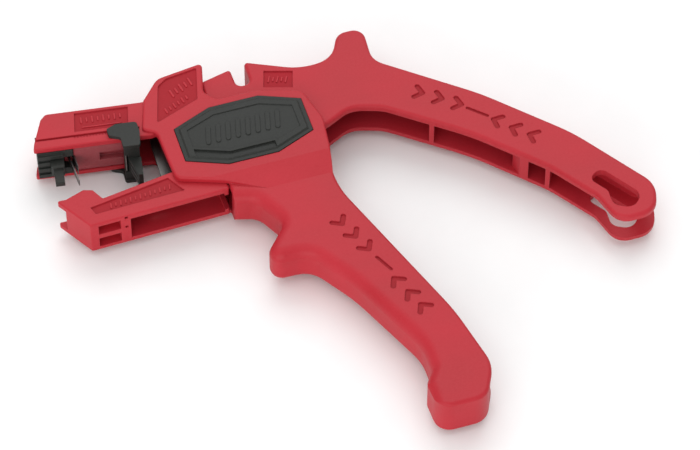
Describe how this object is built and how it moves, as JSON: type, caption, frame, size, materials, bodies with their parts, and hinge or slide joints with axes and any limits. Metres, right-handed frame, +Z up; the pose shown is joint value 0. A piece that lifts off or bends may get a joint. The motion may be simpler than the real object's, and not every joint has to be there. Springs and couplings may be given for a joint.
{
  "type": "wire stripper",
  "caption": "Pistol-grip wire stripper with a fixed upper jaw, a moving lower jaw, a hinged handle, sliding blade carriers and an adjustable length stop.",
  "frame": {"origin": "on the main pivot axis, at the outer face of the lower cover, which the tool rests on", "axes": "+Z up through the thickness of the tool, +X from the jaw tips back along the pivot platform, +Y towards the upper jaw's back"},
  "size_m": [0.1845, 0.1517, 0.0196],
  "materials": {
    "red_shell": "fine-textured glass-filled moulding",
    "dark_plastic": "satin dark grey moulding",
    "blade_steel": "ground spring steel",
    "spring_steel": "drawn wire",
    "plated_steel": "zinc plated"
  },
  "bodies": {
    "body": {"main_body": "red_shell", "cover_top": "dark_plastic", "cover_bottom": "dark_plastic", "main_pivot_pin": "plated_steel", "jaw_pivot_pin": "plated_steel", "anchor_pin": "plated_steel", "pin_clips": "plated_steel", "cutter_blade": "blade_steel", "upper_clamp_block": "dark_plastic", "wire_guide": "dark_plastic", "handle_spring": "spring_steel", "jaw_spring": "spring_steel"},
    "moving_handle": {"upper_handle": "red_shell", "drive_plates": "plated_steel", "drive_rivet": "plated_steel", "jaw_cam_pin": "plated_steel", "pull_pin": "plated_steel"},
    "jaw": {"lower_jaw": "red_shell", "lower_clamp_block": "red_shell"},
    "upper_slide": {"upper_blade_carrier": "red_shell", "carrier_pin": "plated_steel", "upper_blades": "blade_steel", "upper_pull_rods": "plated_steel", "pull_fork": "blade_steel", "fork_rivets": "plated_steel"},
    "lower_slide": {"lower_blade_carrier": "red_shell", "lower_carrier_pin": "plated_steel", "lower_blades": "blade_steel", "lower_pull_rods": "plated_steel", "lower_pull_pin": "plated_steel"},
    "stop": {"length_stop": "dark_plastic", "stop_plate": "dark_plastic", "stop_spring": "spring_steel"}
  },
  "joints": [
    {"name": "handle_squeeze", "type": "hinge", "parent": "body", "child": "moving_handle", "pos_m": [0, 0, 0.0098], "axis": [0, 0, -1], "range_deg": [0, 24], "deforming": ["handle_spring"]},
    {"name": "jaw_close", "type": "hinge", "parent": "body", "child": "jaw", "pos_m": [-0.0135, -0.005, 0.0098], "axis": [0, 0, -1], "range_deg": [0, 10.5], "deforming": ["jaw_spring"]},
    {"name": "upper_blade_pull", "type": "slide", "parent": "body", "child": "upper_slide", "axis": [0.9903, -0.1392, 0], "range_m": [0, 0.00553]},
    {"name": "lower_blade_pull", "type": "slide", "parent": "jaw", "child": "lower_slide", "axis": [0.9997, 0.0262, 0], "range_m": [0, 0.0068]},
    {"name": "length_stop_slide", "type": "slide", "parent": "body", "child": "stop", "axis": [-0.9903, 0.1392, 0], "range_m": [0, 0.009]}
  ],
  "couplings": [
    {"joint": "jaw_close", "follows": "handle_squeeze", "ratio": 0.4375},
    {"joint": "upper_blade_pull", "follows": "handle_squeeze", "m_per_rad": 0.013203},
    {"joint": "lower_blade_pull", "follows": "handle_squeeze", "m_per_rad": 0.016234}
  ]
}
